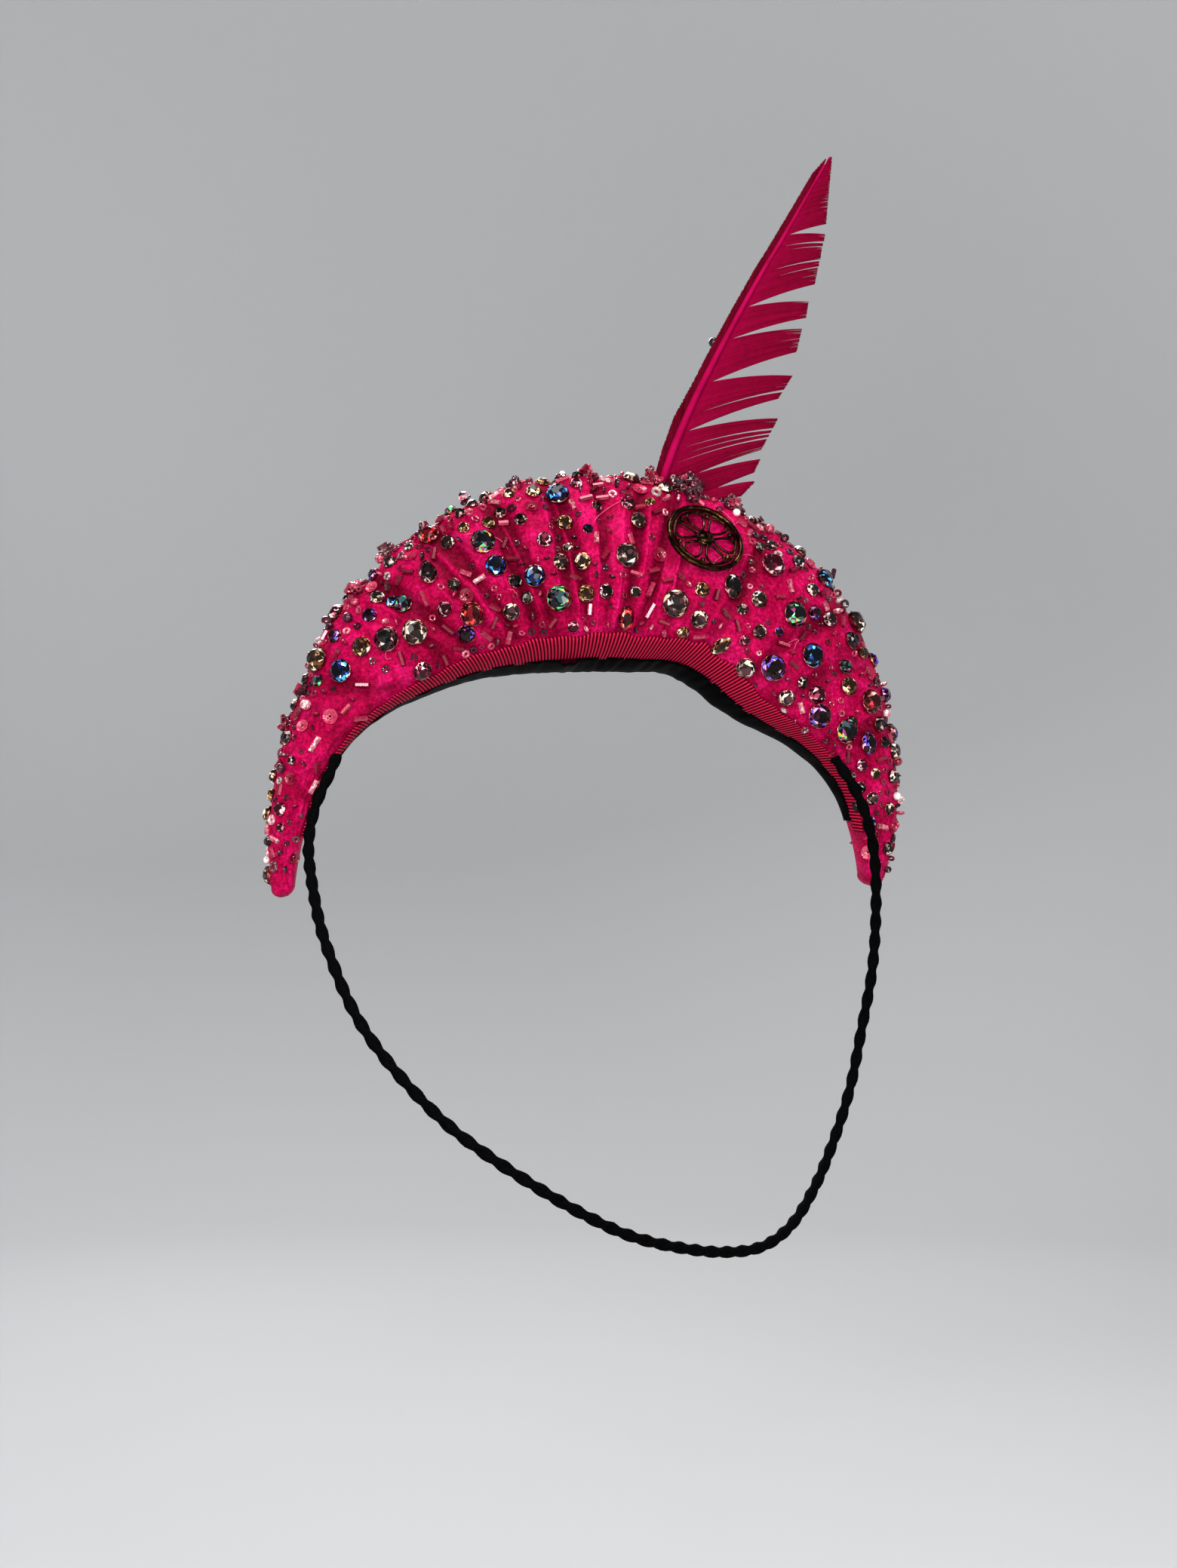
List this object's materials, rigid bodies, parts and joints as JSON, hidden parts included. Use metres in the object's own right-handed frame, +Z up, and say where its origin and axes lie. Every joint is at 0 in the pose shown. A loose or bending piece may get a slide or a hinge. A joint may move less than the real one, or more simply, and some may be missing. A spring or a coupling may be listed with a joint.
{
  "type": "padded halo headband with feather",
  "caption": "Padded halo headband of gathered hot pink fabric with cut stones, a trimmed feather, a gilt rosette badge, crimson ribbon, black lining and a nape elastic",
  "frame": {"origin": "where the crown of the head meets the middle of the lining, on the centre plane of the arch", "axes": "X to the wearer's left, Y to the back, Z up"},
  "size_m": [0.1869, 0.0961, 0.3165],
  "materials": {
    "fabric": "crushed shiny hot pink fabric, gathered",
    "ribbon": "crimson grosgrain ribbon",
    "satin": "black satin",
    "elastic": "black twisted elastic, matte",
    "feather": "dyed goose feather, soft sheen",
    "gilt": "polished gilt",
    "navy": "faceted, navy",
    "crystal": "faceted, foil backed crystal",
    "rainbow": "faceted, rainbow coated crystal",
    "gold": "faceted, golden",
    "plum": "faceted, plum",
    "rose": "faceted, rose",
    "siam": "faceted, deep red",
    "smoke": "faceted, smoke"
  },
  "bodies": {
    "root": {"halo_pad": "fabric", "grosgrain_ribbon": "ribbon", "satin_lining": "satin", "badge": "gilt", "feather": "feather", "feather_bead": "smoke", "nape_elastic": "elastic", "stone_01": "navy", "stone_02": "rainbow", "stone_03": "navy", "stone_04": "navy", "stone_05": "crystal", "stone_06": "gold", "stone_07": "rainbow", "stone_08": "gold", "stone_09": "crystal", "stone_10": "siam", "stone_11": "smoke", "stone_12": "siam", "stone_13": "rainbow", "stone_14": "crystal", "stone_15": "smoke", "stone_16": "gold", "stone_17": "navy", "stone_18": "gold", "stone_19": "rose", "stone_20": "crystal", "stone_21": "crystal", "stone_22": "siam", "stone_23": "crystal", "stone_24": "crystal", "stone_25": "smoke", "stone_26": "crystal", "stone_27": "rose", "stone_28": "rainbow", "stone_29": "navy", "stone_30": "crystal", "stone_31": "gold", "stone_32": "crystal", "stone_33": "plum", "stone_34": "navy", "stone_35": "gold", "stone_36": "siam", "stone_37": "plum", "stone_38": "rainbow", "stone_39": "plum", "stone_40": "rainbow", "stone_41": "crystal", "stone_42": "navy", "stone_43": "rose", "stone_44": "rainbow", "stone_45": "plum", "stone_46": "crystal", "stone_47": "navy"}
  },
  "joints": []
}
